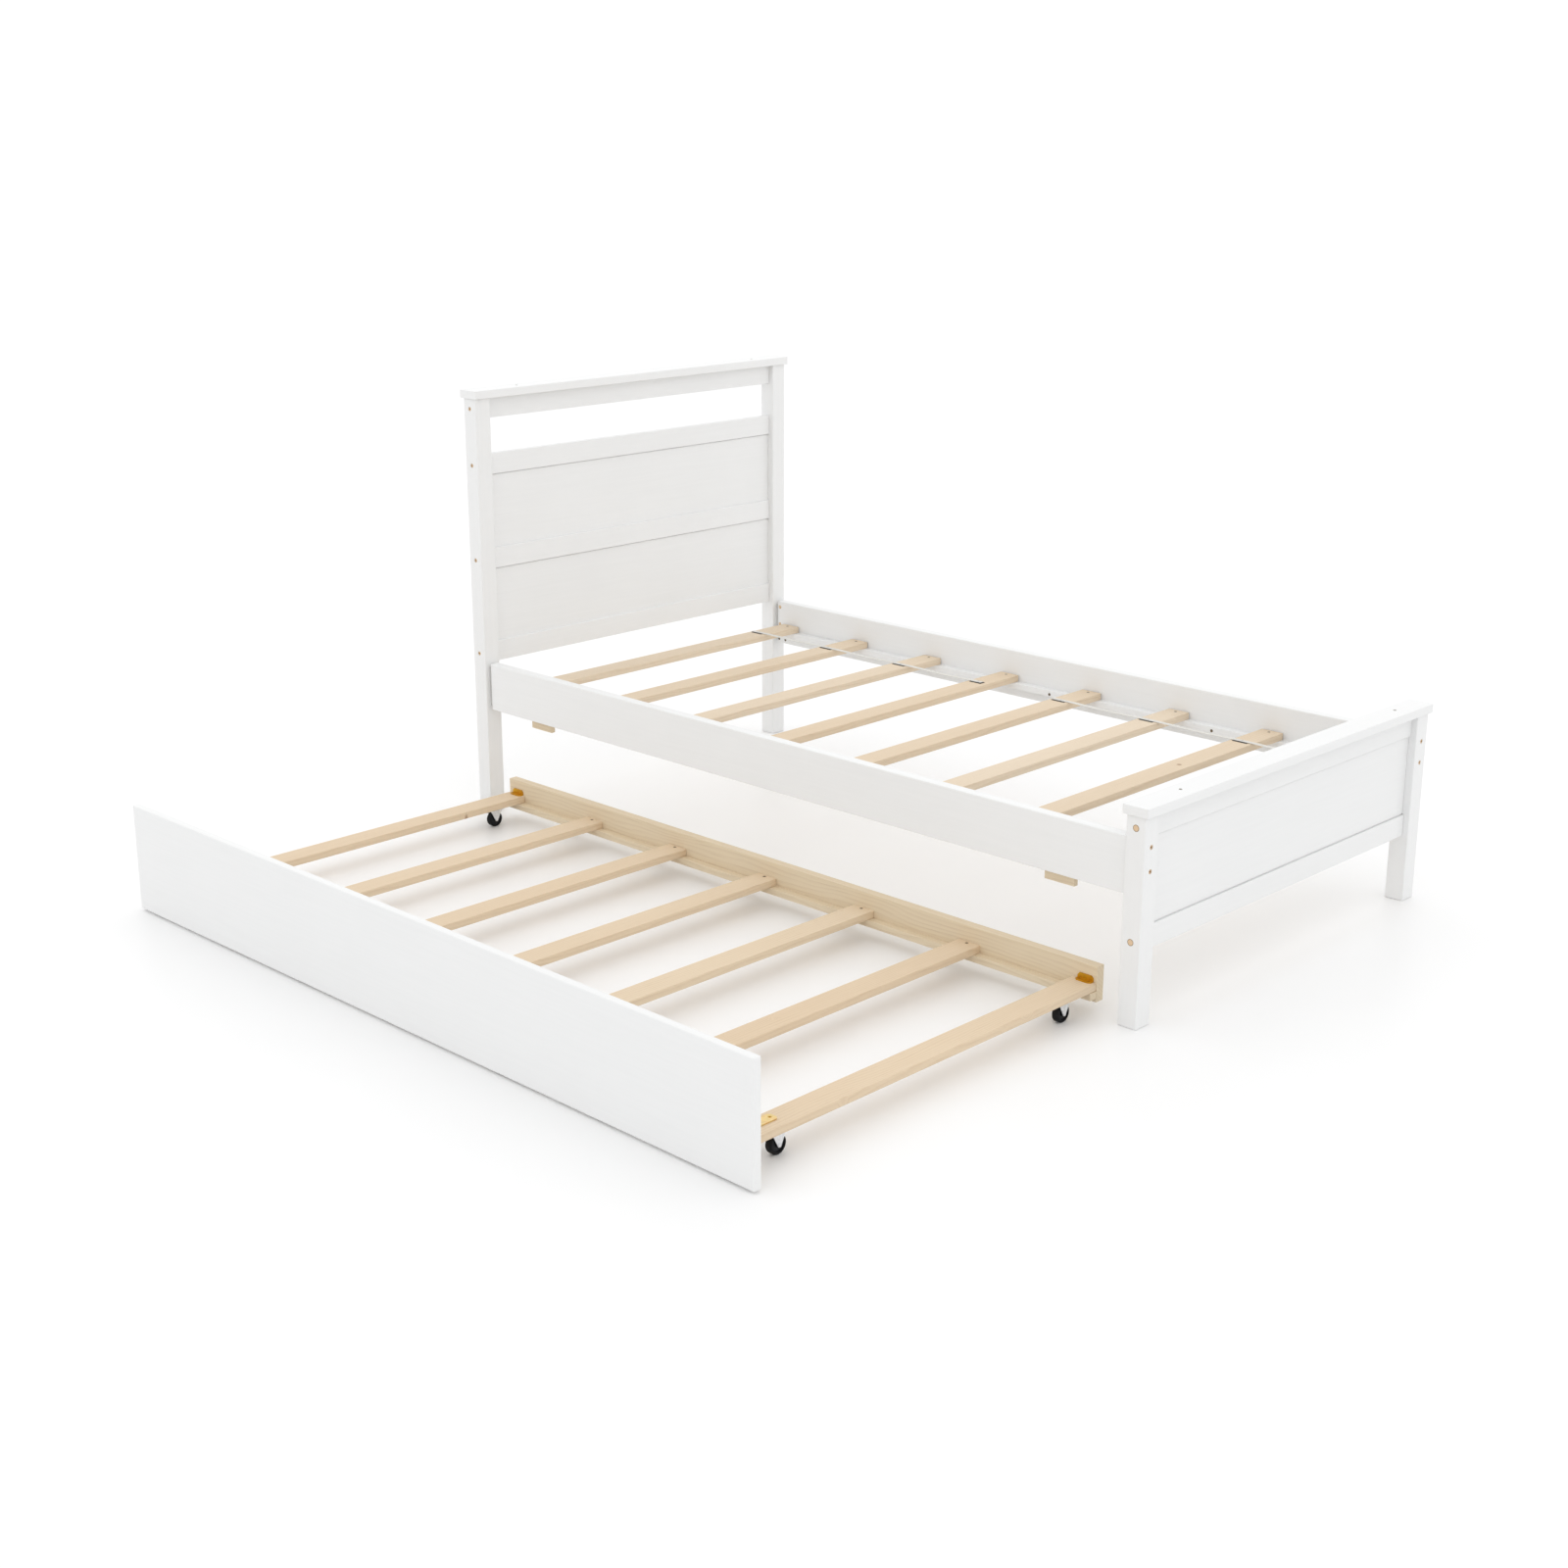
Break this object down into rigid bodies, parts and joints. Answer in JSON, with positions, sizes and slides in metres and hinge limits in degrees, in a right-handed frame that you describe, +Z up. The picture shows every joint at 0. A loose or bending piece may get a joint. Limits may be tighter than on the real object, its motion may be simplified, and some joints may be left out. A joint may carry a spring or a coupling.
{
  "type": "trundle bed",
  "caption": "Low wooden bed with a panelled headboard and footboard, slatted base, and a slatted pull-out trundle on swivel casters behind a plain front panel.",
  "frame": {"origin": "on the floor, at the centre of the outline with the trundle pulled fully out", "axes": "X runs from the headboard (-X) to the footboard (+X), Y from the front, where the trundle comes out, to the back, Z up"},
  "size_m": [2.047, 2.066, 1.06],
  "materials": {
    "white_lacquer": "smooth satin white lacquer on wood",
    "bed_pine": "planed pine, clear and matt",
    "trundle_pine": "planed pine, bare and matt",
    "block_pine": "sawn pine, bare",
    "webbing": "woven flat webbing",
    "bolt_steel": "bronze-toned zinc, satin",
    "screw_steel": "yellow passivated zinc, dull",
    "joint_plate": "pale grey coat, satin",
    "gold_zinc": "yellow passivated zinc, satin",
    "silver_zinc": "bright zinc plate",
    "plate_zinc": "dull zinc plate",
    "black_tyre": "matt hard rubber"
  },
  "bodies": {
    "bed": {"barrel_nuts": "bolt_steel", "bed_ledger_back": "white_lacquer", "bed_ledger_front": "white_lacquer", "bed_screws": "screw_steel", "bed_slat_1": "bed_pine", "bed_slat_2": "bed_pine", "bed_slat_3": "bed_pine", "bed_slat_4": "bed_pine", "bed_slat_5": "bed_pine", "bed_slat_6": "bed_pine", "bed_slat_7": "bed_pine", "bed_slat_8": "bed_pine", "footboard_cap": "white_lacquer", "footboard_panel": "white_lacquer", "footboard_post_back": "white_lacquer", "footboard_post_front": "white_lacquer", "footboard_rail_lower": "white_lacquer", "footboard_rail_top": "white_lacquer", "frame_bolts": "bolt_steel", "headboard_cap": "white_lacquer", "headboard_panel_middle": "white_lacquer", "headboard_panel_upper": "white_lacquer", "headboard_post_back": "white_lacquer", "headboard_post_front": "white_lacquer", "headboard_rail_bottom": "white_lacquer", "headboard_rail_middle": "white_lacquer", "headboard_rail_top": "white_lacquer", "headboard_rail_upper": "white_lacquer", "rail_bracket_plates": "joint_plate", "side_rail_back": "white_lacquer", "side_rail_front": "white_lacquer", "slat_straps": "webbing", "stop_blocks": "block_pine", "wood_plugs": "block_pine"},
    "trundle": {"caster_plates": "plate_zinc", "front_brackets": "gold_zinc", "rear_brackets": "gold_zinc", "trundle_ledgers": "trundle_pine", "trundle_panel": "white_lacquer", "trundle_rear_rail": "trundle_pine", "trundle_screws": "screw_steel", "trundle_slat_1": "trundle_pine", "trundle_slat_2": "trundle_pine", "trundle_slat_3": "trundle_pine", "trundle_slat_4": "trundle_pine", "trundle_slat_5": "trundle_pine", "trundle_slat_6": "trundle_pine", "trundle_slat_7": "trundle_pine"},
    "fork_front_left": {"caster_fork_front_left": "silver_zinc", "caster_axle_front_left": "silver_zinc"},
    "wheel_front_left": {"caster_wheel_front_left": "black_tyre"},
    "fork_rear_left": {"caster_fork_rear_left": "silver_zinc", "caster_axle_rear_left": "silver_zinc"},
    "wheel_rear_left": {"caster_wheel_rear_left": "black_tyre"},
    "fork_front_right": {"caster_fork_front_right": "silver_zinc", "caster_axle_front_right": "silver_zinc"},
    "wheel_front_right": {"caster_wheel_front_right": "black_tyre"},
    "fork_rear_right": {"caster_fork_rear_right": "silver_zinc", "caster_axle_rear_right": "silver_zinc"},
    "wheel_rear_right": {"caster_wheel_rear_right": "black_tyre"}
  },
  "joints": [
    {"name": "trundle_slide", "type": "slide", "parent": "bed", "child": "trundle", "axis": [0, 1, 0], "range_m": [0, 1.0105]},
    {"name": "swivel_front_left", "type": "hinge", "parent": "trundle", "child": "fork_front_left", "pos_m": [-0.8761, -0.911, 0.044], "axis": [0, 0, 1], "continuous": true},
    {"name": "roll_front_left", "type": "hinge", "parent": "fork_front_left", "child": "wheel_front_left", "pos_m": [-0.8761, -0.899, 0.019], "axis": [1, 0, 0], "continuous": true},
    {"name": "swivel_rear_left", "type": "hinge", "parent": "trundle", "child": "fork_rear_left", "pos_m": [-0.8761, -0.115, 0.044], "axis": [0, 0, 1], "continuous": true},
    {"name": "roll_rear_left", "type": "hinge", "parent": "fork_rear_left", "child": "wheel_rear_left", "pos_m": [-0.8761, -0.103, 0.019], "axis": [1, 0, 0], "continuous": true},
    {"name": "swivel_front_right", "type": "hinge", "parent": "trundle", "child": "fork_front_right", "pos_m": [0.8831, -0.911, 0.044], "axis": [0, 0, 1], "continuous": true},
    {"name": "roll_front_right", "type": "hinge", "parent": "fork_front_right", "child": "wheel_front_right", "pos_m": [0.8831, -0.899, 0.019], "axis": [1, 0, 0], "continuous": true},
    {"name": "swivel_rear_right", "type": "hinge", "parent": "trundle", "child": "fork_rear_right", "pos_m": [0.8831, -0.115, 0.044], "axis": [0, 0, 1], "continuous": true},
    {"name": "roll_rear_right", "type": "hinge", "parent": "fork_rear_right", "child": "wheel_rear_right", "pos_m": [0.8831, -0.103, 0.019], "axis": [1, 0, 0], "continuous": true}
  ]
}
